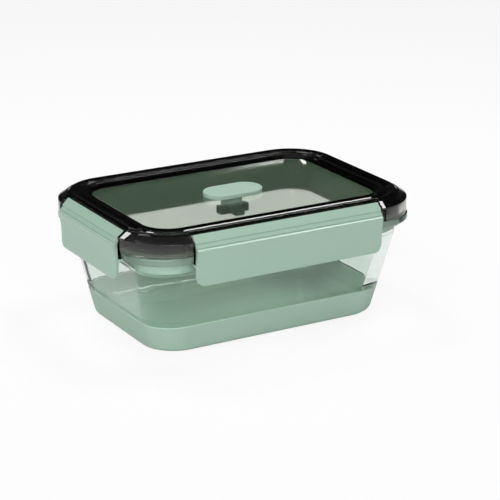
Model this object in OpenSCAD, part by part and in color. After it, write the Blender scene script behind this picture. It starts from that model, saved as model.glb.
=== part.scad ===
// Snap lid food container: a glass bowl in a soft base sleeve, shut by a smoked lid with four hinged latches.
// Millimetres, +Z up. The origin is the middle of the underside, the long side runs along X, the front faces -Y.

/* [Lid outline] */
// Length of the lid over its skirt, along X
lid_l = 198.5; // [170:0.5:240]
// Width of the lid over its skirt, along Y
lid_w = 140; // [125:0.5:180]
// Corner radius of the lid in plan
lid_r = 34; // [31:0.5:37]

/* [Glass bowl] */
// Corner radius of the rim flange in plan
bowl_r = 27; // [25:0.5:31]
// Height of the bowl from its underside to its rim
bowl_h = 65.4; // [55:0.1:90]
// Thickness of the wall
glass_t = 4; // [3:0.1:5]
// Thickness of the floor
glass_floor = 4; // [3:0.1:7]
// Thickness of the rim flange
flange_h = 4.7; // [3.8:0.1:6]
// Overhang of the rim flange past the neck
flange_overhang = 8; // [6:0.1:9]
// Height of the straight neck under the flange
neck_h = 8.7; // [6:0.1:14]
// How much each side narrows from the neck to the foot
bowl_taper = 9.8; // [6:0.1:14]
// Corner radius of the wall at the foot
foot_r = 21.5; // [19:0.5:28]
// Fillet round the underside
foot_fillet = 3; // [2:0.1:5]
// Fillet between the inner floor and the wall
inner_fillet = 9; // [5:0.5:12]

/* [Base sleeve] */
// Height of the sleeve
sleeve_h = 17.5; // [14:0.1:28]
// Thickness of the sleeve's wall, which lies flush in a recess round the bowl's foot
sleeve_t = 1.3; // [1.1:0.1:1.7]
// Thickness of the sleeve's floor
sleeve_floor = 2; // [1.5:0.1:4]
// Fillet round the sleeve's underside
sleeve_fillet = 4; // [3:0.1:6]

/* [Lid section] */
// Height from the skirt's lower edge to the top of the frame
lid_h = 13.9; // [13:0.1:18]
// Thickness of the skirt
skirt_t = 2.2; // [1.8:0.1:3]
// Thickness of the frame's top wall
frame_t = 2.4; // [1.8:0.1:3]
// How far the crown lies below the top of the frame
crown_drop = 1.2; // [0.8:0.1:1.6]
// How far the corners stand out past the skirt beside them
corner_out = 2; // [1.2:0.1:2.5]
// Height of the slope from a corner's lip up to the crown
slope_h = 3.6; // [2.5:0.1:4]
// Width of the slope inside, from the skirt up to the roof
slope_w = 1.6; // [1:0.1:2]
// Distance from the skirt's face to the foot of the raised band
crown_w = 4; // [3.8:0.1:4.8]
// Width of the raised band
band_w = 5.2; // [4.4:0.1:6]
// Width of the slope from the crown up to the band's edge
band_slope_w = 1.5; // [0.8:0.1:2]
// How much the band falls from its edge to the groove
band_fall = 1; // [0.3:0.1:1.2]
// Width of the groove inside the raised band
groove_w = 2.2; // [1.4:0.1:3]
// Depth of that groove below the top of the frame
groove_d = 1.6; // [1.4:0.1:2]
// Width of the ridge inside the groove
ridge_w = 5.1; // [4:0.1:6]
// Width of the sloped wall from the ridge down to the panel
recess_w = 2.5; // [1.5:0.1:3.5]
// How far the panel lies below the top of the frame
panel_sink = 3.5; // [2.5:0.1:4.5]
// Thickness of the panel
panel_t = 2.4; // [1.8:0.1:3]
// Thickness of the ribs under the frame
rib_t = 2; // [1.6:0.1:2.5]
// How far the plug rib reaches below the glass rim
plug_depth = 7.4; // [4:0.1:9]

/* [Gasket] */
// Thickness of the gasket's flange on the glass rim
gasket_t = 2.4; // [2:0.1:2.8]
// Thickness of the gasket's skirt between the plug rib and the neck
gasket_skirt_t = 1.8; // [1.4:0.1:2.4]
// Depth of the gasket below the plug rib
gasket_lip = 5.9; // [4:0.1:7]
// Thickness of the gasket's leg behind the plug rib
gasket_leg_t = 1.5; // [1.2:0.1:2]

/* [Latches] */
// Length of the front and back latches
long_latch_l = 131; // [90:1:134]
// Length of the left and right latches
short_latch_l = 77; // [50:1:80]
// Height of a latch from its top edge to its toe
latch_h = 31.2; // [27:0.1:38]
// Thickness of the flap
latch_t = 2; // [1.6:0.1:2.3]
// How far the top edge lies below the lid's crown
latch_drop = 0.3; // [0.1:0.1:0.6]
// How far the top edge lies inside the skirt's face
latch_top_in = 2.8; // [2.4:0.1:3]
// How far the lower edge of the sloped upper band stands out
upper_out = 1.7; // [1.2:0.1:2]
// How far that edge lies below the top edge
upper_drop = 4.4; // [4:0.1:4.9]
// How far the second sloped band stands out
second_out = 3.2; // [2.8:0.1:3.5]
// How far the second band's lower edge lies below the top edge
second_drop = 6.9; // [6.5:0.1:7.3]
// How far the flap's top edge stands out
flap_out = 4.4; // [4:0.1:5]
// How far the flap's top edge lies below the latch's top edge
flap_drop = 8.9; // [8.2:0.1:10]
// How far the flap stands out at its hollow middle
flap_waist_out = 2.8; // [2.6:0.1:3.4]
// How far the toe stands out
toe_out = 3.3; // [2.8:0.1:5]
// Radius of the flap's lower corners
toe_r = 6; // [3:0.5:8]
// How far the hook reaches in under the glass flange
hook_reach = 2.5; // [1.6:0.1:3]
// Height of the hook where it leaves the flap
hook_h = 3.2; // [2.4:0.1:4]

/* [Hinges] */
// How far the hinge axis lies inside the skirt's face
hinge_in = 1.6; // [1.4:0.1:1.9]
// How far the hinge axis lies below the crown
hinge_drop = 4.3; // [4.1:0.1:4.5]
// Radius of the trunnions
trunnion_r = 1.25; // [1:0.05:1.5]
// Length of a trunnion past the latch's end
trunnion_l = 4.2; // [3:0.1:4.7]
// Radius of the barrel along the hinge axis
barrel_r = 1.9; // [1.6:0.1:2.2]
// Room behind a latch's top edge
top_gap = 1.2; // [1:0.1:1.6]
// Thickness of the wall behind the hollow that a latch swings in
hollow_wall_t = 0.8; // [0.6:0.1:1.2]
// Length of a hinge lug, at each end of that hollow
lug_l = 5.8; // [5:0.1:8]

/* [Vent plug] */
// Length of the cap
cap_l = 40.2; // [30:0.1:60]
// Width of the cap
cap_w = 22.5; // [18:0.1:30]
// Thickness of the cap
cap_t = 3; // [2:0.1:4]
// Diameter of the stem
stem_d = 12; // [8:0.1:15]
// Room between the panel's underside and the foot
vent_travel = 6.6; // [4:0.1:8]
// Span of the cross-shaped foot
foot_span = 21; // [17:0.1:30]
// Width of the foot's arms
foot_arm_w = 7; // [4:0.1:10]
// Thickness of the foot
foot_t = 5; // [3:0.1:6]

/* [Fits] */
// Clearance between pieces that move past each other
fit_gap = 0.3; // [0.2:0.05:0.4]
// Clearance between the soft gasket and the lid that carries it
soft_gap = 0.1; // [0.05:0.05:0.2]
// Clearance of a trunnion in its bore, on the radius
hinge_gap = 0.05; // [0.02:0.01:0.1]
// Gap between the skirt's lower edge and the glass rim
skirt_gap = 0.2; // [0.1:0.05:0.5]
// Gap between a latch's end and its lug
end_gap = 0.8; // [0.4:0.05:1]

/* [Hidden] */
$fn = 64;

// Steps of a shell's corner, and of its fillets
corner_steps = 8;
fillet_steps = 4;
// Small overlap that keeps joined shapes and cutters from sharing a face
lap = 0.5;

// Colours: clear glass, mint silicone, mint plastic, smoked plastic
glass_colour = [0.80, 0.90, 0.87, 0.35];
silicone_colour = [0.58, 0.70, 0.63];
latch_colour = [0.66, 0.80, 0.73];
smoked_colour = [0.16, 0.17, 0.16, 0.75];

// Heights, from the table up
rim_z = sleeve_floor + bowl_h;
flange_z = rim_z - flange_h;
neck_z = flange_z - neck_h;
seat_z = rim_z + gasket_t;
skirt_z = rim_z + skirt_gap;
top_z = skirt_z + lid_h;
crown_z = top_z - crown_drop;
slope_z = crown_z - slope_h;
groove_z = top_z - groove_d;
roof_z = groove_z - frame_t + 0.3;
panel_z = top_z - panel_sink;
panel_under_z = panel_z - panel_t;
plug_z = rim_z - plug_depth;
hinge_z = crown_z - hinge_drop;
latch_top_z = crown_z - latch_drop;
toe_z = latch_top_z - latch_h;

// Places across the lid's section, outward from the skirt's face
band_in = -(crown_w + band_w);
ridge_out = band_in - groove_w;
ridge_in = ridge_out - ridge_w;
panel_edge = ridge_in - recess_w;
mouth_in = -(flange_overhang + glass_t);
plug_face = mouth_in - fit_gap - gasket_skirt_t - soft_gap;

// Room for the latch's top edge as it swings, and the rib behind it
hinge_o = -hinge_in;
swing_r = norm([latch_top_in - hinge_in, hinge_drop - latch_drop]) + fit_gap;
swing_gap = latch_top_in + top_gap;
press_rib_out = hinge_o - swing_r - hollow_wall_t;

// The bowl's wall leans out from its foot to its neck by this angle
lean = atan2(bowl_taper, neck_z - sleeve_floor);
// Inner and outer radius of the rounded bend at the bottom of the neck
neck_inner_r = 4;
neck_outer_r = neck_inner_r + glass_t;
// Roundings of the flange: lower edge, upper edge, inner edge, and the fillet under it
flange_low_r = 1.8;
flange_top_r = 1.2;
rim_in_r = 1;
under_flange_r = 2;
// Rounding of the vent foot's arms
foot_arm_r = 1.4;
// Rounding of the sleeve's top lip, and of the glass edge above it
lip_r = 0.4;

// Outward place and corner radius of the bowl's outer wall at height z
function wall_o(z) = -flange_overhang - max(0, neck_z - z) * tan(lean);
function wall_r(z) =
  let (down = max(0, neck_z - z) / (neck_z - sleeve_floor))
  bowl_r - flange_overhang + down * (foot_r - bowl_r + flange_overhang);

// Points on an arc about centre c
function arc(c, r, a0, a1, n = fillet_steps) =
  [for (i = [0:n]) let (a = a0 + (a1 - a0) * i / n) c + r * [cos(a), sin(a)]];

// Centre of a fillet of radius r between the level z and the wall moved outward by out
function foot_centre(z, r, out) =
  [wall_o(z + r) + (out - r) / cos(lean), z + r];

// A rounded rectangle at point p = [outward place, height] of a shell's section, as round inside as outside
function ring(p) =
  let (r = wall_r(p[1]) + max(0, p[0] - wall_o(p[1])),
       hx = lid_l / 2 + p[0] - r,
       hy = lid_w / 2 + p[0] - r)
  [for (q = [0:3], i = [0:corner_steps])
    let (a = 90 * (q + i / corner_steps), sx = q == 0 || q == 3 ? 1 : -1, sy = q < 2 ? 1 : -1)
    [sx * hx + r * cos(a), sy * hy + r * sin(a), p[1]]];

// A closed shell through the rings of a section that starts under the foot and ends on the inner floor
module shell(section) {
  rings = [for (p = section) ring(p)];
  n = len(rings[0]);
  last = len(rings) - 1;
  under = [for (i = [0:n - 1]) i];
  inside = [for (i = [n - 1:-1:0]) last * n + i];
  walls = [for (k = [0:last - 1], i = [0:n - 1])
    [k * n + i, (k + 1) * n + i, (k + 1) * n + (i + 1) % n, k * n + (i + 1) % n]];
  polyhedron([for (r = rings) each r], concat([under], walls, [inside]));
}

// Puts a shape drawn on the back side, with +Y outward, on the side turned by angle
module at_side(angle) {
  rotate([0, 0, angle])
    translate([0, angle % 180 == 0 ? lid_w / 2 : lid_l / 2, 0])
      children();
}

// Stretches a section drawn as [outward, height] along a side
module along(l) {
  rotate([90, 0, 90])
    linear_extrude(height = l, center = true)
      children();
}

// Sweeps a section drawn as [outward, height] round the lid's outline, with corners of radius r
module round_the_lid(r) {
  for (q = [0:3])
    translate([(q == 0 || q == 3 ? 1 : -1) * (lid_l / 2 - r), (q < 2 ? 1 : -1) * (lid_w / 2 - r), 0])
      rotate([0, 0, 90 * q])
        rotate_extrude(angle = 90)
          translate([r, 0])
            children();
  for (angle = [0, 180]) at_side(angle) along(lid_l - 2 * r) children();
  for (angle = [90, -90]) at_side(angle) along(lid_w - 2 * r) children();
}

// A rectangle with round corners
module rounded_rectangle(l, w, r) {
  if (w > 2 * r) square([l, w - 2 * r], center = true);
  square([l - 2 * r, w], center = true);
  for (x = [-1, 1], y = [-1, 1]) translate([x * (l / 2 - r), y * (w / 2 - r)]) circle(r);
}

// The glass bowl's section: up the outside, over the flange and down the inside
module glass_bowl() {
  bend = [-flange_overhang - neck_outer_r, neck_z + neck_outer_r * tan(lean / 2)];
  inner_z = sleeve_floor + glass_floor;
  recess = sleeve_t + fit_gap;
  step_z = sleeve_h + fit_gap;
  color(glass_colour)
    shell(concat(
      arc(foot_centre(sleeve_floor, foot_fillet, -recess), foot_fillet, -90, -lean),
      [[wall_o(step_z) - recess / cos(lean), step_z]],
      arc([wall_o(step_z + lip_r) - lip_r / cos(lean), step_z + lip_r], lip_r, -90, -lean, 2),
      arc(bend, neck_outer_r, -lean, 0, 2),
      arc([under_flange_r - flange_overhang, flange_z - under_flange_r], under_flange_r, 180, 90),
      arc([-flange_low_r, flange_z + flange_low_r], flange_low_r, -90, 0),
      arc([-flange_top_r, rim_z - flange_top_r], flange_top_r, 0, 90, 3),
      arc([mouth_in + rim_in_r, rim_z - rim_in_r], rim_in_r, 90, 180, 3),
      arc(bend, neck_inner_r, 0, -lean, 2),
      arc(foot_centre(inner_z, inner_fillet, -glass_t), inner_fillet, -lean, -90)));
}

// The base sleeve's section: up the outside, over the lip and down the inside
module base_sleeve() {
  lip_out = wall_o(sleeve_h);
  lip_in = lip_out - sleeve_t / cos(lean);
  color(silicone_colour)
    shell(concat(
      arc(foot_centre(0, sleeve_fillet, 0), sleeve_fillet, -90, -lean),
      arc([lip_out - lip_r, sleeve_h - lip_r], lip_r, -lean, 90, 3),
      arc([lip_in + lip_r, sleeve_h - lip_r], lip_r, 90, 180 - lean, 3),
      arc(foot_centre(sleeve_floor, foot_fillet, -sleeve_t), foot_fillet, -lean, -90)));
}

// The lid's frame: corner lip and slope, raised band, groove, ridge and the two ribs under them
module frame_section() {
  step = 0.3;
  polygon([
    [corner_out, skirt_z],
    [corner_out, slope_z],
    [-latch_top_in, latch_top_z],
    [-crown_w, crown_z],
    [-crown_w - band_slope_w, top_z],
    [band_in, top_z - band_fall],
    [band_in - step, groove_z],
    [ridge_out, groove_z],
    [ridge_out - 3 * step, top_z - band_fall],
    [ridge_in + 3 * step, top_z - step],
    [ridge_in, top_z - 2 * step],
    [panel_edge, panel_z],
    [panel_edge - lap, panel_z],
    [panel_edge - lap, panel_under_z],
    [plug_face - rib_t, panel_under_z],
    [plug_face - rib_t, plug_z],
    [plug_face, plug_z],
    [plug_face, roof_z],
    [press_rib_out - rib_t, roof_z],
    [press_rib_out - rib_t, seat_z],
    [press_rib_out, seat_z],
    [press_rib_out, roof_z],
    [-skirt_t - slope_w, roof_z],
    [-skirt_t, roof_z - slope_h / 2],
    [-skirt_t, skirt_z]
  ]);
}

// The hollow that a latch lies and swings in, between two corners
module pocket_section() {
  translate([0, skirt_z - lap]) square([flap_out, top_z]);
  translate([hinge_o, hinge_z]) circle(swing_r);
  translate([-swing_gap, hinge_z]) square([swing_gap + flap_out, top_z]);
  translate([hinge_o, hinge_z - swing_r]) square([hinge_in + flap_out, top_z]);
}

// The wall behind that hollow and its lugs
module pocket_wall_section() {
  translate([press_rib_out - lap, seat_z]) square([-press_rib_out + lap, crown_z - frame_t / 2 - seat_z]);
}

// A hinge lug that fills the corner's hollow side, with its face on the latch's side at the origin
module lug() {
  rotate([90, 0, 90])
    linear_extrude(height = lug_l)
      polygon([
        [hinge_o + lap / 2, hinge_z - swing_r],
        [hinge_o + lap / 2, hinge_z + trunnion_r + lap],
        [-skirt_t - slope_w, roof_z + lap],
        [press_rib_out - lap, roof_z + lap],
        [press_rib_out - lap, hinge_z - swing_r]
      ]);
}

// The blind bore in a lug that holds a trunnion
module lug_bore() {
  translate([-lap, hinge_o, hinge_z])
    rotate([0, 90, 0])
      cylinder(r = trunnion_r + hinge_gap, h = lap + trunnion_l);
}

// Puts a shape at both ends of a latch of length l, on the lug's face
module at_lugs(l) {
  for (m = [0, 1]) mirror([m, 0, 0]) translate([l / 2 + end_gap, 0, 0]) children();
}

// The lid's plate inside the frame
module panel() {
  translate([0, 0, panel_under_z])
    linear_extrude(height = panel_t)
      rounded_rectangle(lid_l + 2 * panel_edge, lid_w + 2 * panel_edge, lid_r + panel_edge);
}

module lid() {
  sides = [[0, long_latch_l], [180, long_latch_l], [90, short_latch_l], [-90, short_latch_l]];
  color(smoked_colour)
    difference() {
      union() {
        difference() {
          union() {
            round_the_lid(lid_r) frame_section();
            panel();
            for (s = sides) at_side(s[0]) along(s[1] + 2 * (end_gap + lug_l)) pocket_wall_section();
          }
          for (s = sides) at_side(s[0]) along(s[1] + 2 * end_gap) pocket_section();
        }
        for (s = sides) at_side(s[0]) at_lugs(s[1]) lug();
      }
      for (s = sides) at_side(s[0]) at_lugs(s[1]) lug_bore();
      translate([0, 0, panel_under_z - lap]) cylinder(d = stem_d + 2 * fit_gap, h = panel_t + 2 * lap);
    }
}

// The gasket: a flange on the glass rim, and a skirt that goes down into the mouth and up behind the plug rib
module lid_gasket() {
  edge = -skirt_t - fit_gap;
  face = mouth_in - fit_gap;
  back = plug_face + soft_gap;
  leg_in = plug_face - rib_t - soft_gap - gasket_leg_t;
  lip_z = plug_z - soft_gap;
  chamfer = 1;
  color(silicone_colour) {
    round_the_lid(lid_r) {
      translate([back, rim_z]) square([edge - back, gasket_t]);
      translate([leg_in, lip_z - lap]) square([gasket_leg_t, panel_under_z - fit_gap - lip_z + lap]);
    }
    round_the_lid(bowl_r + glass_t)
      polygon([
        [face, rim_z + gasket_t / 2],
        [back, rim_z + gasket_t / 2],
        [back, lip_z],
        [leg_in, lip_z],
        [leg_in, lip_z - gasket_lip + chamfer],
        [leg_in + chamfer, lip_z - gasket_lip],
        [face - soft_gap, lip_z - gasket_lip],
        [face, lip_z - gasket_lip / 2]
      ]);
  }
}

// A latch's section: sloped bands, hollow flap and toe outside, hook and barrel inside
module latch_section() {
  flap_top = [flap_out, latch_top_z - flap_drop];
  toe = [toe_out, toe_z];
  waist = [2 * flap_waist_out - (flap_out + toe_out) / 2, (flap_top[1] + toe_z) / 2];
  flap = function (t) (1 - t) * (1 - t) * flap_top + 2 * t * (1 - t) * waist + t * t * toe;
  steps = 10;
  hook_r = norm([max(hinge_in, abs(hook_reach - hinge_in)), hinge_z - flange_z]) + fit_gap;
  root = flap_waist_out - latch_t;
  hook = function (o) [o, hinge_z - sqrt(hook_r * hook_r - (o - hinge_o) * (o - hinge_o))];
  edge = 0.6;
  polygon(concat(
    [
      [-latch_top_in, latch_top_z],
      [upper_out, latch_top_z - upper_drop],
      [upper_out + edge / 3, latch_top_z - upper_drop - 2 * edge],
      [second_out, latch_top_z - second_drop],
      [second_out, latch_top_z - second_drop - edge],
      [flap_out - edge, latch_top_z - flap_drop + edge]
    ],
    [for (i = [0:steps]) flap(i / steps)],
    [for (i = [steps:-1:0]) if (flap(i / steps)[1] < hook(root)[1] - hook_h) flap(i / steps) - [latch_t, 0]],
    [[root, hook(root)[1] - hook_h], hook(-hook_reach) - [0, hook_h / 3]],
    [for (i = [0:4]) hook(-hook_reach + (hook_reach + root) * i / 4)],
    [for (i = [steps:-1:0]) if (flap(i / steps)[1] > flange_z) flap(i / steps) - [latch_t, 0]],
    [
      [second_out - latch_t, latch_top_z - second_drop],
      [hinge_o, hinge_z],
      [-latch_top_in - edge, latch_top_z - 2 * edge]
    ]
  ));
}

// A latch of length l, with round lower corners, and a trunnion at each end of its barrel
module latch(l) {
  color(latch_colour) {
    difference() {
      along(l) latch_section();
      for (m = [0, 1])
        mirror([m, 0, 0])
          translate([l / 2 - toe_r, flap_out + lap, toe_z + toe_r])
            rotate([90, 0, 0])
              linear_extrude(height = flap_out + latch_t + 2 * lap)
                difference() {
                  translate([0, -toe_r - lap]) square([toe_r + lap, toe_r + lap]);
                  circle(toe_r);
                }
    }
    translate([0, hinge_o, hinge_z])
      rotate([0, 90, 0]) {
        cylinder(r = barrel_r, h = l, center = true);
        cylinder(r = trunnion_r, h = l + 2 * trunnion_l, center = true);
      }
  }
}

module latch_front() {
  at_side(180) latch(long_latch_l);
}

module latch_back() {
  at_side(0) latch(long_latch_l);
}

module latch_left() {
  at_side(90) latch(short_latch_l);
}

module latch_right() {
  at_side(-90) latch(short_latch_l);
}

// The vent plug: an oval cap on the panel, a stem through it, and a foot that stops it from coming out
module vent_plug() {
  foot_top_z = panel_under_z - vent_travel;
  color(silicone_colour) {
    translate([0, 0, panel_z])
      linear_extrude(height = cap_t)
        rounded_rectangle(cap_l, cap_w, cap_w / 2);
    translate([0, 0, foot_top_z - lap])
      cylinder(d = stem_d, h = panel_z - foot_top_z + 2 * lap);
    translate([0, 0, foot_top_z - foot_t])
      linear_extrude(height = foot_t)
        for (turn = [0, 90])
          rotate(turn) rounded_rectangle(foot_span, foot_arm_w, foot_arm_r);
  }
}

glass_bowl();
base_sleeve();
lid();
lid_gasket();
latch_front();
latch_back();
latch_left();
latch_right();
vent_plug();
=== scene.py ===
# Snap lid food container: a glass bowl in a silicone sleeve, under a smoked lid with four hinged latches.
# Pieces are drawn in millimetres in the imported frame, and handed over in metres.
import math

import bmesh
import bpy
from mathutils import Matrix, Vector


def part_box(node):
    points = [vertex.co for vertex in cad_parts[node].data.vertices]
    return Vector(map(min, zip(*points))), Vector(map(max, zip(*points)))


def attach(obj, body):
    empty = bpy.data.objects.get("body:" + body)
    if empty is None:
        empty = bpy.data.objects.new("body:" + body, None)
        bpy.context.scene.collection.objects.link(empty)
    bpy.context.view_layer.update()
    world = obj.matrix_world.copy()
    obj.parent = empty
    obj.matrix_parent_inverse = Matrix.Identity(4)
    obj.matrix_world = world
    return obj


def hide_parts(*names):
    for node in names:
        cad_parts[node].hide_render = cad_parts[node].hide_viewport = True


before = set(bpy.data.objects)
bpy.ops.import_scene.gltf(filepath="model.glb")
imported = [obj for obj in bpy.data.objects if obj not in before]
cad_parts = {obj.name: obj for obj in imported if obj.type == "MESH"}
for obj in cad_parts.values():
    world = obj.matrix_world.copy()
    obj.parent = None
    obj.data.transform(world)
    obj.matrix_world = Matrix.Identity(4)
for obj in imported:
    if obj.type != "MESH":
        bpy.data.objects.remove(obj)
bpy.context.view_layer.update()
MM = 0.001


# Camera
# A long lens above the near left corner, at the angle and distance fitted to the photograph's straight edges.
view_turn = math.radians(-30.11)
view_rise = math.radians(18.77)
view_from = Vector((-0.5705, -1.0058, 0.4328))
view_back = Vector((
    math.sin(view_turn) * math.cos(view_rise),
    -math.cos(view_turn) * math.cos(view_rise),
    math.sin(view_rise),
))
camera_data = bpy.data.cameras.new("camera")
camera_data.sensor_width = 36
camera_data.lens = 137.2
camera = bpy.data.objects.new("camera", camera_data)
camera.location = view_from
camera.rotation_euler = view_back.to_track_quat("Z", "Y").to_euler()
bpy.context.scene.collection.objects.link(camera)
bpy.context.scene.camera = camera


# Base sleeve
# A moulded silicone cup with a closed floor, stretched over the foot of the bowl.
# It is matt and soft to the eye, with a spark-eroded grain from its mould, drawn coarser than life to show.
bowl_low, bowl_high = (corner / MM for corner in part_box("glass_bowl"))
rim_x, rim_y, rim_z = bowl_high
foot_z = bowl_low.z
flange_overhang = 8
rim_corner = 27
neck_z = rim_z - 13.4
bowl_taper = 9.8
foot_corner = 21.5
lean = math.atan2(bowl_taper, neck_z - foot_z)
sleeve_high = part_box("base_sleeve")[1].z / MM
recess = 1.6
glass_grip = 0.05
floor_from_wall = 14
CORNER_STEPS = 28
NEARLY_STRAIGHT = math.radians(89)
CREASE = math.radians(38)
WELD = 0.002


def wall_out(z):
    """Place of the bowl's outer wall at height z, outward from the edge of the rim."""
    return -flange_overhang - max(0, neck_z - z) * math.tan(lean)


def wall_corner(z):
    """Corner radius of that wall in plan."""
    down = max(0, neck_z - z) / (neck_z - foot_z)
    return rim_corner - flange_overhang + down * (foot_corner - rim_corner + flange_overhang)


def soften(corners, closed=False, steps=5):
    """A section with round corners, from corners (outward, height, radius). A straight run stays straight."""
    points = []
    for i, (out, high, radius) in enumerate(corners):
        here = Vector((out, high))
        if radius == 0 or (not closed and i in (0, len(corners) - 1)):
            points.append(here)
            continue
        back = (Vector(corners[i - 1][:2]) - here).normalized()
        on = (Vector(corners[(i + 1) % len(corners)][:2]) - here).normalized()
        half = back.angle(on) / 2
        if half > NEARLY_STRAIGHT:
            shares = [2 * k / steps - 1 for k in range(steps + 1)]
            points += [here + (on * t if t > 0 else back * -t) * radius for t in shares]
            continue
        centre = here + (back + on).normalized() * radius / math.sin(half)
        start = here + back * radius / math.tan(half) - centre
        end = here + on * radius / math.tan(half) - centre
        turn = math.pi - 2 * half
        if start.x * end.y - start.y * end.x < 0:
            turn = -turn
        points += [centre + Matrix.Rotation(turn * k / steps, 2) @ start for k in range(steps + 1)]
    return points


def draw_out(bm, rings, closed=False):
    """Grows a skin through level round-cornered rings (reach_x, reach_y, corner, z), and caps an open one."""
    segments = 4 * CORNER_STEPS
    turned = Matrix.Rotation(math.pi / segments, 4, "Z")
    heading = bm.verts.layers.float_vector.new("heading")
    circle = bmesh.ops.create_circle(bm, segments=segments, radius=1, matrix=turned, cap_ends=not closed)
    verts = circle["verts"]
    edges = list(dict.fromkeys(edge for vert in verts for edge in vert.link_edges))
    for vert in verts:
        vert[heading] = vert.co
    for i, (reach_x, reach_y, corner, z) in enumerate(rings + rings[:1] if closed else rings):
        if i:
            grown = bmesh.ops.extrude_edge_only(bm, edges=edges)["geom"]
            edges = [item for item in grown if isinstance(item, bmesh.types.BMEdge)]
            verts = [item for item in grown if isinstance(item, bmesh.types.BMVert)]
        for vert in verts:
            away = vert[heading]
            vert.co = (math.copysign(reach_x - corner, away.x) + corner * away.x,
                       math.copysign(reach_y - corner, away.y) + corner * away.y, z)
    if not closed:
        bmesh.ops.contextual_create(bm, geom=edges)


def wall_rings(section):
    """Rings of a section along the bowl's wall. Corners widen towards the foot, and are as wide inside."""
    return [(rim_x + out, rim_y + out, wall_corner(z) + max(0, out - wall_out(z)), z) for out, z in section]


def demould(bm, name, node, body, material):
    """Hands a closed mesh drawn in millimetres over as a finished piece that stands for a CAD node."""
    bmesh.ops.remove_doubles(bm, verts=bm.verts, dist=WELD)
    bmesh.ops.dissolve_degenerate(bm, dist=WELD, edges=bm.edges)
    bmesh.ops.recalc_face_normals(bm, faces=bm.faces)
    bmesh.ops.scale(bm, vec=(MM, MM, MM), verts=bm.verts)
    for face in bm.faces:
        face.smooth = True
    for edge in bm.edges:
        edge.smooth = edge.calc_face_angle(0) < CREASE
    mesh = bpy.data.meshes.new(name)
    bm.to_mesh(mesh)
    bm.free()
    mesh.materials.append(material)
    piece = bpy.data.objects.new(name, mesh)
    bpy.context.scene.collection.objects.link(piece)
    shading = piece.modifiers.new("even_shading", "WEIGHTED_NORMAL")
    shading.keep_sharp = True
    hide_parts(node)
    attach(piece, body)
    return piece


def linear(code):
    """Linear colour of an sRGB hex code."""
    parts = [int(code[i:i + 2], 16) / 255 for i in (1, 3, 5)]
    return [p / 12.92 if p <= 0.04045 else ((p + 0.055) / 1.055) ** 2.4 for p in parts] + [1]


def add_node(tree, kind, values=None, links=None, **settings):
    """Adds a node with its settings, its socket values and its links."""
    made = tree.nodes.new(kind)
    for name, value in settings.items():
        setattr(made, name, value)
    for socket, value in (values or {}).items():
        made.inputs[socket].default_value = value
    for socket, source in (links or {}).items():
        tree.links.new(source, made.inputs[socket])
    return made


def moulded(name, light, dark, roughness, spread, ior, cloud_mm, grain_mm, grain_depth_mm):
    """A moulded opaque finish: its colour clouds a little, and the mould's grain is in its bump and gloss."""
    material = bpy.data.materials.new(name)
    material.use_nodes = True
    tree = material.node_tree
    shader = tree.nodes["Principled BSDF"]
    place = add_node(tree, "ShaderNodeTexCoord").outputs["Object"]
    cloud = add_node(tree, "ShaderNodeTexNoise", {"Scale": 1 / (cloud_mm * MM), "Detail": 3},
                     {"Vector": place})
    grain = add_node(tree, "ShaderNodeTexNoise", {"Scale": 1 / (grain_mm * MM), "Detail": 2},
                     {"Vector": place})
    tint = add_node(tree, "ShaderNodeMix", {"A": linear(dark), "B": linear(light)}, data_type="RGBA")
    tree.links.new(cloud.outputs["Fac"], tint.inputs["Factor"])
    gloss = add_node(tree, "ShaderNodeMapRange", {"To Min": roughness - spread, "To Max": roughness + spread},
                     {"Value": grain.outputs["Fac"]})
    bump = add_node(tree, "ShaderNodeBump", {"Strength": 1, "Distance": grain_depth_mm * MM},
                    {"Height": grain.outputs["Fac"]})
    tree.links.new(tint.outputs["Result"], shader.inputs["Base Color"])
    tree.links.new(gloss.outputs["Result"], shader.inputs["Roughness"])
    tree.links.new(bump.outputs["Normal"], shader.inputs["Normal"])
    shader.inputs["IOR"].default_value = ior
    return material


silicone = moulded("mint_silicone", "#AAC4B6", "#A5C0B1", roughness=0.58, spread=0.06, ior=1.41,
                   cloud_mm=28, grain_mm=0.45, grain_depth_mm=0.012)
recess_out = recess / math.cos(lean)
sleeve_in = recess_out + glass_grip
sleeve_section = soften([
    (wall_out(0) - floor_from_wall, 0, 0),
    (wall_out(0), 0, 4),
    (wall_out(sleeve_high), sleeve_high, 0.35),
    (wall_out(sleeve_high) - sleeve_in, sleeve_high, 0.35),
    (wall_out(foot_z) - sleeve_in, foot_z + glass_grip, 3),
    (wall_out(foot_z) - floor_from_wall, foot_z + glass_grip, 0),
])
bm = bmesh.new()
draw_out(bm, wall_rings(sleeve_section))
demould(bm, "base_sleeve_cup", "base_sleeve", "base_sleeve", silicone)


# Glass bowl
# Pressed clear soda-lime glass: leaning walls, a straight neck and a thick rim flange for the latches' hooks.
# Its faces are fire-polished, with the slow ripple that pressed glass keeps, drawn out along the level.
glass_wall = 4
flange_z = rim_z - 4.7
inner_floor_z = foot_z + 4
step_z = sleeve_high + 0.3
inner_out = glass_wall / math.cos(lean)
inner_bend_z = neck_z + (inner_out - glass_wall) / math.tan(lean)
bowl_section = soften([
    (wall_out(foot_z) - floor_from_wall, foot_z, 0),
    (wall_out(foot_z) - recess_out, foot_z, 3),
    (wall_out(step_z) - recess_out, step_z, 0.2),
    (wall_out(step_z), step_z, 0.4),
    (-flange_overhang, neck_z, 8),
    (-flange_overhang, flange_z, 2),
    (0, flange_z, 1.8),
    (0, rim_z, 1.2),
    (-flange_overhang - glass_wall, rim_z, 1),
    (-flange_overhang - glass_wall, inner_bend_z, 4),
    (wall_out(inner_floor_z) - inner_out, inner_floor_z, 9),
    (wall_out(inner_floor_z) - inner_out - floor_from_wall, inner_floor_z, 0),
], steps=8)
glass = bpy.data.materials.new("pressed_clear_glass")
glass.use_nodes = True
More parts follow.
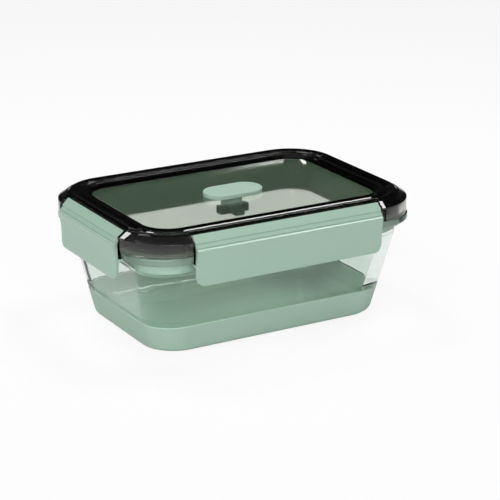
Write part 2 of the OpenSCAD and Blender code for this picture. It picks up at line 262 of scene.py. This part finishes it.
tree = glass.node_tree
shader = tree.nodes["Principled BSDF"]
ripple_mm = 18
ripple_depth_mm = 0.55
ripple_drawn_out = (0.4, 0.4, 1)
place = add_node(tree, "ShaderNodeTexCoord").outputs["Object"]
level = add_node(tree, "ShaderNodeMapping", {"Scale": ripple_drawn_out}, {"Vector": place})
ripple = add_node(tree, "ShaderNodeTexNoise", {"Scale": 1 / (ripple_mm * MM), "Detail": 1},
                  {"Vector": level.outputs["Vector"]})
ripple_bump = add_node(tree, "ShaderNodeBump", {"Strength": 1, "Distance": ripple_depth_mm * MM},
                       {"Height": ripple.outputs["Fac"]})
tree.links.new(ripple_bump.outputs["Normal"], shader.inputs["Normal"])
shader.inputs["Base Color"].default_value = linear("#E6EFEA")
shader.inputs["Transmission Weight"].default_value = 1
shader.inputs["Roughness"].default_value = 0.0
shader.inputs["IOR"].default_value = 1.5


def let_lamps_through(tree, shader):
    """Lets the lamps' rays straight through a clear piece, and returns the filter that tints them."""
    path = add_node(tree, "ShaderNodeLightPath")
    lamp_filter = add_node(tree, "ShaderNodeBsdfTransparent")
    lit = add_node(tree, "ShaderNodeMixShader", links={
        0: path.outputs["Is Shadow Ray"], 1: shader.outputs["BSDF"], 2: lamp_filter.outputs["BSDF"]})
    tree.links.new(lit.outputs["Shader"], tree.nodes["Material Output"].inputs["Surface"])
    return lamp_filter


let_lamps_through(tree, shader).inputs["Color"].default_value = linear("#FAFDFB")
bm = bmesh.new()
draw_out(bm, wall_rings(bowl_section))
demould(bm, "glass_bowl_shell", "glass_bowl", "glass_bowl", glass)


# Lid gasket
# A moulded silicone seal: its flange lies on the glass rim, and its skirt goes down round the lid's rib.
# It is smoother and a little paler than the sleeve. Its inside has painted shade, a deeper green.
gasket_low, gasket_high = (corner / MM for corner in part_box("lid_gasket"))
gasket_edge = gasket_high.x - rim_x
seat_z = rim_z + 2.4
lip_z = gasket_low.z
plug_face = -14.2
plug_back = plug_face - 2
plug_z = lip_z + 6
leg = 1.5
leg_top_z = gasket_high.z
mouth = -flange_overhang - glass_wall
lid_corner = 34
film = 0.06
gasket_section = soften([
    (gasket_edge, rim_z + 0.02, 0.5),
    (gasket_edge, seat_z - film, 0.5),
    (plug_face + film, seat_z - film, 0.2),
    (plug_face + film, plug_z - film, 0.2),
    (plug_back - film, plug_z - film, 0.2),
    (plug_back - film, leg_top_z, 0.3),
    (plug_back - leg, leg_top_z, 0.3),
    (plug_back - leg, lip_z + 1.2, 0.8),
    (plug_back, lip_z, 0.8),
    (mouth - 0.4, lip_z, 0.6),
    (mouth + glass_grip, lip_z + 1.7, 1.2),
    (mouth + glass_grip, rim_z - glass_grip, 0.8),
], closed=True)
gasket_silicone = moulded("gasket_silicone", "#B5CDBF", "#AFC8BA", roughness=0.42, spread=0.04, ior=1.41,
                          cloud_mm=30, grain_mm=0.6, grain_depth_mm=0.006)
bm = bmesh.new()
rings = []
for out, z in gasket_section:
    corner = lid_corner if z > rim_z or out < plug_back else rim_corner + glass_wall
    rings.append((rim_x + out, rim_y + out, corner + out, z))
draw_out(bm, rings, closed=True)
bmesh.ops.recalc_face_normals(bm, faces=bm.faces)
bm.normal_update()
# Painted shade: faces that look inward, where the gasket lies in shade, get a deeper green.
inward = -0.3
painted_shade_inside = bm.verts.layers.float.new("painted_shade_inside")
for vert in bm.verts:
    vert[painted_shade_inside] = vert.normal.xy.dot(vert.co.xy.normalized()) < inward


def paint_shade(material, attribute, code):
    """Paints shade: leads a material's colour over to a deeper one by an attribute of the mesh."""
    tree = material.node_tree
    shader = tree.nodes["Principled BSDF"]
    plain = shader.inputs["Base Color"].links[0].from_socket
    share = add_node(tree, "ShaderNodeAttribute", attribute_name=attribute)
    deep = add_node(tree, "ShaderNodeMix", {"B": linear(code)}, {"Factor": share.outputs["Fac"], "A": plain},
                    data_type="RGBA")
    tree.links.new(deep.outputs["Result"], shader.inputs["Base Color"])


paint_shade(gasket_silicone, "painted_shade_inside", "#66846F")
demould(bm, "lid_gasket_ring", "lid_gasket", "lid", gasket_silicone)


# Lid
# One moulding of smoked see-through plastic: a sunk panel, a bead and a raised band round it, a skirt,
# and at each latch end a hinge lug beside a hollow for the latch. Two ribs under it carry the gasket.
skirt_z = rim_z + 0.2
top_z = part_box("lid")[1].z / MM
crown_z = top_z - 1.2
slope_z = crown_z - 3.6
fall_z = top_z - 1
groove_z = top_z - 1.6
panel_z = top_z - 3.5
panel_under_z = panel_z - 2.4
roof_z = groove_z - 2.1
panel_edge, ridge_in, ridge_out, band_in, band_edge, band_foot = -19, -16.5, -11.4, -9.2, -5.5, -4
latch_top, latch_top_z = -2.8, crown_z - 0.3
hinge_out, hinge_z = -1.6, crown_z - 4.3
swing = math.hypot(latch_top - hinge_out, latch_top_z - hinge_z) + 0.3
hollow_z = hinge_z - swing
hollow_back = hinge_out - swing
press_rib = hollow_back - 0.8
hollow_lip_z = crown_z - 0.5
corner_out = 2
skirt_in, roof_edge = -2.2, -3.8
rib = 2
lug_long = 5.8
notch_long, notch_deep = 2.6, 1.6
lug_soft, face_ease = 0.25, 0.04
end_gap = 0.8
latch_reach = {"long": 65.5, "short": 38.5}
vent_hole = 6.3

panel_to_band = [
    (panel_edge - 1, panel_z, 0), (panel_edge, panel_z, 0.15), (ridge_in, top_z - 0.6, 0.5),
    (ridge_in + 0.9, top_z - 0.3, 0.7), (ridge_out - 0.75, fall_z, 0.25),
    (ridge_out - 0.03, fall_z - 0.38, 0.12), (ridge_out, groove_z, 0.1),
    (band_in - 0.3, groove_z, 0.2), (band_in, fall_z, 0.25), (band_edge, top_z, 0.4),
]
under = [
    (press_rib, seat_z, 0.3), (press_rib - rib, seat_z, 0.3), (press_rib - rib, roof_z, 0.4),
    (plug_face, roof_z, 0.4), (plug_face, plug_z, 0.4), (plug_back, plug_z, 0.4),
    (plug_back, panel_under_z, 0.4), (panel_edge - 1, panel_under_z, 0),
]
slope = [(band_foot, crown_z, 0.4), (latch_top, latch_top_z, 0.5), (corner_out, slope_z, 0.5)]
skirt = [
    (corner_out, hollow_z, 0.3), (corner_out, skirt_z, 0.4), (skirt_in, skirt_z, 0.35),
    (skirt_in, seat_z, 0.1),
]
lug_inside = [(skirt_in, hollow_z, 0.3), (roof_edge, hollow_z, 0.3), (press_rib, hollow_z, 0.3)]
corner_edge = slope + skirt + [
    (skirt_in, roof_z - 1.65, 0.5), (roof_edge, roof_z, 0.5), (press_rib, roof_z, 0.4),
]
lug_edge = slope + skirt + lug_inside
notch_edge = slope[:2] + [
    (corner_out, slope_z, 0.2), (corner_out - 0.2, slope_z - 1, 0.2),
    (corner_out - notch_deep, slope_z - 1.2, 0.2), (corner_out - notch_deep, skirt_z, 0.3),
    (skirt_in, skirt_z, 0.35),
] + lug_inside
hollow_edge = [
    (band_foot, crown_z, 0.15), (band_foot, hollow_lip_z, 0.1), (hollow_back, hollow_lip_z - 1.2, 1),
    (hollow_back, hollow_z, 3.5), (0, hollow_z, 0.3), (0, skirt_z, 0.35), (skirt_in, skirt_z, 0.35),
    (skirt_in, seat_z, 0.2), (-4.5, seat_z, 0.3), (press_rib + 0.3, seat_z, 0.1),
]
corner_section, lug_section, notch_section, hollow_section = (
    soften(panel_to_band + edge + under) for edge in (corner_edge, lug_edge, notch_edge, hollow_edge))


def between(one, other, share):
    """A section that share of the way from one to the other."""
    return [p.lerp(q, share) for p, q in zip(one, other)]


def long_side(out, x, straight):
    """Plan place on the back side at x. Past the corner's start it bends away, unless it stays straight."""
    past = max(0, x - rim_x + lid_corner)
    if straight or past == 0:
        return x, rim_y + out
    return x, rim_y - lid_corner + math.sqrt((lid_corner + out) ** 2 - past ** 2)


def short_side(out, y, straight):
    """The same on the right side at y."""
    past = max(0, y - rim_y + lid_corner)
    if straight or past == 0:
        return rim_x + out, y
    return rim_x - lid_corner + math.sqrt((lid_corner + out) ** 2 - past ** 2), y


def round_corner(out, share, long_end, short_end):
    """Plan place round the corner, from the plane of the long side's lug end to that of the short side's."""
    radius = lid_corner + out
    start = math.acos((long_end - rim_x + lid_corner) / radius)
    end = math.asin((short_end - rim_y + lid_corner) / radius)
    turn = start + (end - start) * share
    return rim_x - lid_corner + radius * math.cos(turn), rim_y - lid_corner + radius * math.sin(turn)


long_face, short_face = (latch_reach[side] + end_gap for side in ("long", "short"))
long_end, short_end = long_face + lug_long, short_face + lug_long
soft_face = between(notch_section, hollow_section, face_ease)
bend_steps = 24
stations = [
    (hollow_section, long_side, (0,)),
    (hollow_section, long_side, (rim_x - lid_corner,)),
    (hollow_section, long_side, (long_face,)),
    (soft_face, long_side, (long_face,)),
    (notch_section, long_side, (long_face + lug_soft,)),
    (notch_section, long_side, (long_face + notch_long,)),
    (lug_section, long_side, (long_face + notch_long + lug_soft,)),
    (lug_section, long_side, (long_end,)),
]
for step in range(bend_steps + 1):
    stations.append((corner_section, round_corner, (step / bend_steps, long_end, short_end)))
stations += [
    (lug_section, short_side, (short_end,)),
    (lug_section, short_side, (short_face + notch_long + lug_soft,)),
    (notch_section, short_side, (short_face + notch_long,)),
    (notch_section, short_side, (short_face + lug_soft,)),
    (soft_face, short_side, (short_face,)),
    (hollow_section, short_side, (short_face,)),
    (hollow_section, short_side, (rim_y - lid_corner,)),
    (hollow_section, short_side, (0,)),
]
frame_inside = band_foot + 0.15
skirt_dye = 0.55
bm = bmesh.new()
place_in_section = bm.verts.layers.int.new("place_in_section")
dye_share = bm.verts.layers.float.new("dye_share")


def dye_at(out, z):
    """Share of the dark tint: none in the panel and the thin ribs, all in the frame, some in the skirt."""
    in_panel = out < panel_edge - 0.3
    in_rib = out < press_rib + 0.4 and z < roof_z - 0.6
    in_skirt = out > skirt_in - 0.3 and z < slope_z - 1
    if in_panel or in_rib:
        return 0
    return skirt_dye if in_skirt else 1


def stand(verts, station):
    """Puts a row of the frame's vertices where the station has them."""
    section, side, where = station
    for vert in verts:
        out, z = section[vert[place_in_section]]
        if side is round_corner:
            x, y = side(out, *where)
        else:
            x, y = side(out, *where, section is hollow_section and out > frame_inside)
        vert.co = x, y, z
        vert[dye_share] = dye_at(out, z)


row = [bm.verts.new() for point in hollow_section]
for i, vert in enumerate(row):
    vert[place_in_section] = i
stand(row, stations[0])
edges = [bm.edges.new(pair) for pair in zip(row, row[1:])]
for station in stations[1:]:
    grown = bmesh.ops.extrude_edge_only(bm, edges=edges)["geom"]
    edges = [item for item in grown if isinstance(item, bmesh.types.BMEdge)]
    stand([item for item in grown if isinstance(item, bmesh.types.BMVert)], station)
for axis in ("X", "Y"):
    bmesh.ops.mirror(bm, geom=bm.verts[:] + bm.edges[:] + bm.faces[:], axis=axis, merge_dist=WELD)
bmesh.ops.remove_doubles(bm, verts=bm.verts, dist=0.001)
hole_loops = []
for z in (panel_z, panel_under_z):
    panel_loop = [edge for edge in bm.edges if edge.is_boundary and abs(edge.verts[0].co.z - z) < 0.01]
    hole = bmesh.ops.create_circle(bm, segments=len(panel_loop), radius=vent_hole,
                                   matrix=Matrix.Translation((0, 0, z)))["verts"]
    hole_loops.append(list(dict.fromkeys(edge for vert in hole for edge in vert.link_edges)))
    bmesh.ops.bridge_loops(bm, edges=panel_loop + hole_loops[-1])
bmesh.ops.bridge_loops(bm, edges=hole_loops[0] + hole_loops[1])

# The plastic is polished, with a faint haze, and looks black where it is thick. Its filter also holds back
# lamp light at a slant, more than real plastic does, for the shade under the panel.
smoke = bpy.data.materials.new("smoked_clear_plastic")
smoke.use_nodes = True
tree = smoke.node_tree
shader = tree.nodes["Principled BSDF"]
shader.inputs["Transmission Weight"].default_value = 1
shader.inputs["IOR"].default_value = 1.53
dye = add_node(tree, "ShaderNodeAttribute", attribute_name="dye_share")
tint = add_node(tree, "ShaderNodeMix", {"A": linear("#F6F6EE"), "B": linear("#1C1D1B")},
                {"Factor": dye.outputs["Fac"]}, data_type="RGBA")
tree.links.new(tint.outputs["Result"], shader.inputs["Base Color"])
place = add_node(tree, "ShaderNodeTexCoord").outputs["Object"]
haze_mm = 18
haze_least, haze_most = 0.01, 0.05
haze = add_node(tree, "ShaderNodeTexNoise", {"Scale": 1 / (haze_mm * MM), "Detail": 2}, {"Vector": place})
haze_gloss = add_node(tree, "ShaderNodeMapRange", {"To Min": haze_least, "To Max": haze_most},
                      {"Value": haze.outputs["Fac"]})
tree.links.new(haze_gloss.outputs["Result"], shader.inputs["Roughness"])
slant_start, slant_end = 0.2, 0.6
slant = add_node(tree, "ShaderNodeLayerWeight", {"Blend": 0.5})
slant_loss = add_node(tree, "ShaderNodeMapRange", {"From Min": slant_start, "From Max": slant_end},
                      {"Value": slant.outputs["Facing"]})
loss = add_node(tree, "ShaderNodeMath", links={0: dye.outputs["Fac"], 1: slant_loss.outputs["Result"]},
                operation="MAXIMUM")
filter_tint = add_node(tree, "ShaderNodeMix", {"A": linear("#D8D8D2"), "B": linear("#1C1D1B")},
                       {"Factor": loss.outputs[0]}, data_type="RGBA")
tree.links.new(filter_tint.outputs["Result"], let_lamps_through(tree, shader).inputs["Color"])
demould(bm, "lid_moulding", "lid", "lid", smoke)


# Vent plug
# A soft silicone valve in the panel's hole: an oval cap to pull, a round stem, and a cross-shaped foot.
# It is moulded in one piece from the sleeve's silicone. Below the panel it has painted shade, a deeper green.
cap_low, cap_high = (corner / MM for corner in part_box("vent_plug"))
cap_x, cap_y, cap_z = cap_high
stem = 6
foot_high = 5
foot_reach, foot_arm = 10.5, 3.5
arm_round, nook_round, rim_round = 1.4, 0.8, 0.6
cap_section = soften([
    (-6, panel_z + 0.03, 0), (-0.25, panel_z + 0.03, 0.4), (0, cap_z, 0.8), (-6, cap_z, 0),
])
bm = bmesh.new()
draw_out(bm, [(cap_x + out, cap_y + out, cap_y + out, z) for out, z in cap_section])
stem_low, stem_high = cap_low.z + foot_high / 2, panel_z + 1
bmesh.ops.create_cone(bm, cap_ends=True, segments=64, radius1=stem, radius2=stem, depth=stem_high - stem_low,
                      matrix=Matrix.Translation((0, 0, (stem_high + stem_low) / 2)))
cross = soften([
    (foot_arm, foot_arm, nook_round), (foot_arm, foot_reach, arm_round), (-foot_arm, foot_reach, arm_round),
    (-foot_arm, foot_arm, nook_round), (-foot_reach, foot_arm, arm_round),
    (-foot_reach, -foot_arm, arm_round), (-foot_arm, -foot_arm, nook_round),
    (-foot_arm, -foot_reach, arm_round), (foot_arm, -foot_reach, arm_round),
    (foot_arm, -foot_arm, nook_round), (foot_reach, -foot_arm, arm_round), (foot_reach, foot_arm, arm_round),
], closed=True)
foot_face = bm.faces.new([bm.verts.new((x, y, cap_low.z)) for x, y in cross])
foot_top = bmesh.ops.extrude_face_region(bm, geom=[foot_face], use_keep_orig=True)["geom"]
foot_verts = [item for item in foot_top if isinstance(item, bmesh.types.BMVert)]
bmesh.ops.translate(bm, verts=foot_verts, vec=(0, 0, foot_high))
foot_levels = [{round(cap_low.z, 3)}, {round(cap_low.z + foot_high, 3)}]
rims = [edge for edge in bm.edges
        if {round(vert.co.z, 3) for vert in edge.verts} in foot_levels and edge.calc_face_angle(0) > 1]
bmesh.ops.bevel(bm, geom=rims, offset=rim_round, segments=3, profile=0.5, affect="EDGES", material=-1)
# Painted shade: the faces below the panel get a deeper green.
painted_shade_under = bm.verts.layers.float.new("painted_shade_under")
for vert in bm.verts:
    vert[painted_shade_under] = vert.co.z < panel_z - 0.1
vent_silicone_painted_shade = silicone.copy()
vent_silicone_painted_shade.name = "vent_silicone_painted_shade"
paint_shade(vent_silicone_painted_shade, "painted_shade_under", "#4E6A5C")
demould(bm, "vent_plug_valve", "vent_plug", "vent_plug", vent_silicone_painted_shade)


# Latches
# Four snap latches moulded in mint polypropylene: two sloped bands on top, a hollow finger flap, a hook
# inside and a barrel whose trunnions turn in the lid's lugs. The plastic is satin, with a fine even grain.
latch_plastic = moulded("mint_polypropylene", "#A5C2B2", "#A0BDAD", roughness=0.3, spread=0.05, ior=1.49,
                        cloud_mm=40, grain_mm=0.35, grain_depth_mm=0.006)
flap_top_z = latch_top_z - 8.9
toe_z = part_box("latch_front")[0].z / MM
flap_out_top, flap_out_waist, toe_out = 4.4, 1.75, 3.3
flap_wall = 2
toe_corner = 6
barrel, trunnion, trunnion_long = 1.9, 1.25, 4.2
trunnion_back, trunnion_root = 0.5, 0.9
hook_top_z = flange_z - 0.3
end_soft = 0.3


def flap_out(z):
    """Place of the flap's hollow outer face at height z."""
    t = (flap_top_z - z) / (flap_top_z - toe_z)
    return (1 - t) ** 2 * flap_out_top + 2 * t * (1 - t) * flap_out_waist + t ** 2 * toe_out


toe_rows = [toe_z + toe_corner * (1 - math.cos(math.radians(a))) for a in range(85, 30, -9)]
flap_start_z = flap_top_z - 1.2
flap_rows = [flap_start_z - k * (flap_start_z - toe_z - toe_corner) / 9 for k in range(9)] + toe_rows
hook_low_z, hook_root_z = hook_top_z - 3.1, hook_top_z + 0.1
barrel_steps = 14
barrel_turns = [math.radians(-46 - 205 * k / barrel_steps) for k in range(barrel_steps + 1)]
latch_section = soften(
    [
        (latch_top, latch_top_z, 0.3), (1.7, latch_top_z - 4.4, 0.4), (1.25, latch_top_z - 5.1, 0.2),
        (1.9, latch_top_z - 5.6, 0.2), (3.2, latch_top_z - 6.9, 0.35), (2.85, latch_top_z - 7.6, 0.15),
        (4.45, flap_top_z + 0.45, 0.45),
    ]
    + [(flap_out(z), z, 0) for z in flap_rows]
    + [(toe_out, toe_z, 0.7), (1.3, toe_z, 0.7)]
    + [(flap_out(z) - flap_wall, z, 0) for z in reversed(flap_rows) if z < hook_low_z - 0.6]
    + [
        (flap_out(hook_low_z) - flap_wall, hook_low_z, 0.4), (-2.5, hook_top_z - 1.2, 0.3),
        (-2.5, hook_top_z - 0.05, 0.3), (flap_out(hook_root_z) - flap_wall, hook_root_z, 0.4),
    ]
    + [(flap_out(z) - flap_wall, z, 0) for z in reversed(flap_rows) if z > hook_root_z + 0.6]
    + [(1, latch_top_z - 7.4, 0.4)]
    + [(hinge_out + barrel * math.cos(a), hinge_z + barrel * math.sin(a), 0) for a in barrel_turns]
    + [(latch_top - 0.6, latch_top_z - 1.2, 0.3)],
    closed=True)


def drawn_in(section, depth):
    """The section with its outline drawn in by depth."""
    points = []
    for before, here, after in zip(section[-1:] + section[:-1], section, section[1:] + section[:1]):
        along = (after - before).normalized()
        points.append(here + Vector((along.y, -along.x)) * depth)
    return points


def mould_latch(side, turn, reach, half_long):
    """One latch, drawn on the back side and turned to its own. Its ends and its lower corners are round."""
    bm = bmesh.new()
    place_in_section = bm.verts.layers.int.new("place_in_section")
    half_way = 0.29 * end_soft
    steps = [(0, end_soft), (half_way, half_way), (end_soft, 0)]
    stations = [(back_off - half_long, depth) for back_off, depth in steps]
    stations += [(-x, depth) for x, depth in reversed(stations)]
    verts = [bm.verts.new() for point in latch_section]
    for i, vert in enumerate(verts):
        vert[place_in_section] = i
    edges = [bm.edges.new(pair) for pair in zip(verts, verts[1:] + verts[:1])]
    for i, (x, depth) in enumerate(stations):
        if i:
            grown = bmesh.ops.extrude_edge_only(bm, edges=edges)["geom"]
            edges = [item for item in grown if isinstance(item, bmesh.types.BMEdge)]
            verts = [item for item in grown if isinstance(item, bmesh.types.BMVert)]
        section = drawn_in(latch_section, depth)
        for vert in verts:
            vert.co = x, *section[vert[place_in_section]]
        if i in (0, len(stations) - 1):
            cap = bm.faces.new(sorted(verts, key=lambda vert: vert[place_in_section]))
            bmesh.ops.triangulate(bm, faces=[cap])
    for vert in bm.verts:
        drop = min(toe_corner, toe_z + toe_corner - vert.co.z)
        if drop > 0:
            vert.co.x -= math.copysign(toe_corner - math.sqrt(toe_corner ** 2 - drop ** 2), vert.co.x)
    for end in (-1, 1):
        pin = Matrix.Translation((end * (half_long + trunnion_long / 2 - trunnion_back), hinge_out, hinge_z))
        pin = pin @ Matrix.Rotation(math.pi / 2, 4, "Y")
        bmesh.ops.create_cone(bm, cap_ends=True, segments=32, radius1=trunnion, radius2=trunnion,
                              depth=trunnion_long + trunnion_root, matrix=pin)
    bmesh.ops.translate(bm, verts=bm.verts, vec=(0, reach, 0))
    bmesh.ops.rotate(bm, verts=bm.verts, matrix=Matrix.Rotation(math.radians(turn), 3, "Z"))
    name = "latch_" + side
    demould(bm, name + "_flap", name, name, latch_plastic)


mould_latch("back", 0, rim_y, latch_reach["long"])
mould_latch("front", 180, rim_y, latch_reach["long"])
mould_latch("left", 90, rim_x, latch_reach["short"])
mould_latch("right", -90, rim_x, latch_reach["short"])


# Studio
# A white paper floor, lit by softboxes from the front left and the left, and by a weak one overhead.
# Three small lamps draw highlights on the lid's bead, edges and lugs. The rest is dark, for a black frame.
floor_half = 40
paper_white, paper_mirrored = 0.86, 0.28
bm = bmesh.new()
bmesh.ops.create_grid(bm, x_segments=1, y_segments=1, size=floor_half)
floor_mesh = bpy.data.meshes.new("floor")
bm.to_mesh(floor_mesh)
bm.free()
floor = bpy.data.objects.new("floor", floor_mesh)
bpy.context.scene.collection.objects.link(floor)
paper = bpy.data.materials.new("white_paper")
paper.use_nodes = True
tree = paper.node_tree
shader = tree.nodes["Principled BSDF"]
shader.inputs["Base Color"].default_value = linear("#F4F4F4")
shader.inputs["Roughness"].default_value = 0.9
shader.inputs["Specular IOR Level"].default_value = 0


def seen_through(tree, path):
    """Marks the rays that came through a clear piece and have met no opaque one."""
    straight = add_node(tree, "ShaderNodeMath", {1: 0.5}, {0: path.outputs["Diffuse Depth"]},
                        operation="LESS_THAN")
    clear = add_node(tree, "ShaderNodeMath", operation="MULTIPLY",
                     links={0: path.outputs["Is Transmission Ray"], 1: straight.outputs[0]})
    return clear.outputs[0]


path = add_node(tree, "ShaderNodeLightPath")
seen = add_node(tree, "ShaderNodeMath", operation="MAXIMUM",
                links={0: path.outputs["Is Camera Ray"], 1: seen_through(tree, path)})
seen_white = add_node(tree, "ShaderNodeMath", {1: paper_white}, {0: seen.outputs[0]}, operation="MULTIPLY")
mirrored = add_node(tree, "ShaderNodeMath", {1: paper_mirrored}, {0: path.outputs["Is Glossy Ray"]},
                    operation="MULTIPLY")
share = add_node(tree, "ShaderNodeMath", operation="MAXIMUM",
                 links={0: seen_white.outputs[0], 1: mirrored.outputs[0]})
white = add_node(tree, "ShaderNodeEmission", {"Color": (1, 1, 1, 1), "Strength": 1.0})
shown = add_node(tree, "ShaderNodeMixShader",
                 links={0: share.outputs[0], 1: shader.outputs["BSDF"], 2: white.outputs["Emission"]})
tree.links.new(shown.outputs["Shader"], tree.nodes["Material Output"].inputs["Surface"])
floor_mesh.materials.append(paper)


def softbox(name, place, aim, size_x, size_y, power):
    """A rectangular soft lamp that faces a point."""
    lamp_data = bpy.data.lights.new(name, "AREA")
    lamp_data.shape = "RECTANGLE"
    lamp_data.size, lamp_data.size_y = size_x, size_y
    lamp_data.energy = power
    lamp = bpy.data.objects.new(name, lamp_data)
    lamp.location = place
    lamp.rotation_euler = (Vector(place) - Vector(aim)).to_track_quat("Z", "Y").to_euler()
    lamp.visible_camera = False
    bpy.context.scene.collection.objects.link(lamp)


box_middle, lid_middle = (0, 0, 0.05), (0, 0, 0.07)
softbox("overhead", (-0.15, 0.05, 1.3), box_middle, 1.4, 1.4, 1.5)
softbox("front_fill", (-0.75, -1.75, 1.0), box_middle, 1.4, 1.0, 23)
softbox("left_fill", (-1.5, -0.4, 1.25), box_middle, 1.2, 1.0, 12)
softbox("bead_light", (-0.066, 0.583, 0.98), lid_middle, 0.16, 0.16, 2.4)
softbox("edge_light", (0.53, 0.06, 0.97), lid_middle, 0.3, 0.34, 4.4)
softbox("facet_light", (-0.33, 0.85, 0.93), lid_middle, 0.22, 0.22, 1.6)
world_dim, world_seen = 0.02, 0.12
world = bpy.data.worlds.new("studio")
world.use_nodes = True
tree = world.node_tree
path = add_node(tree, "ShaderNodeLightPath")
strength = add_node(tree, "ShaderNodeMapRange", {"To Min": world_dim, "To Max": world_seen},
                    {"Value": seen_through(tree, path)})
tree.nodes["Background"].inputs["Color"].default_value = (1, 1, 1, 1)
tree.links.new(strength.outputs["Result"], tree.nodes["Background"].inputs["Strength"])
bpy.context.scene.world = world
bpy.context.scene.view_settings.view_transform = "Standard"
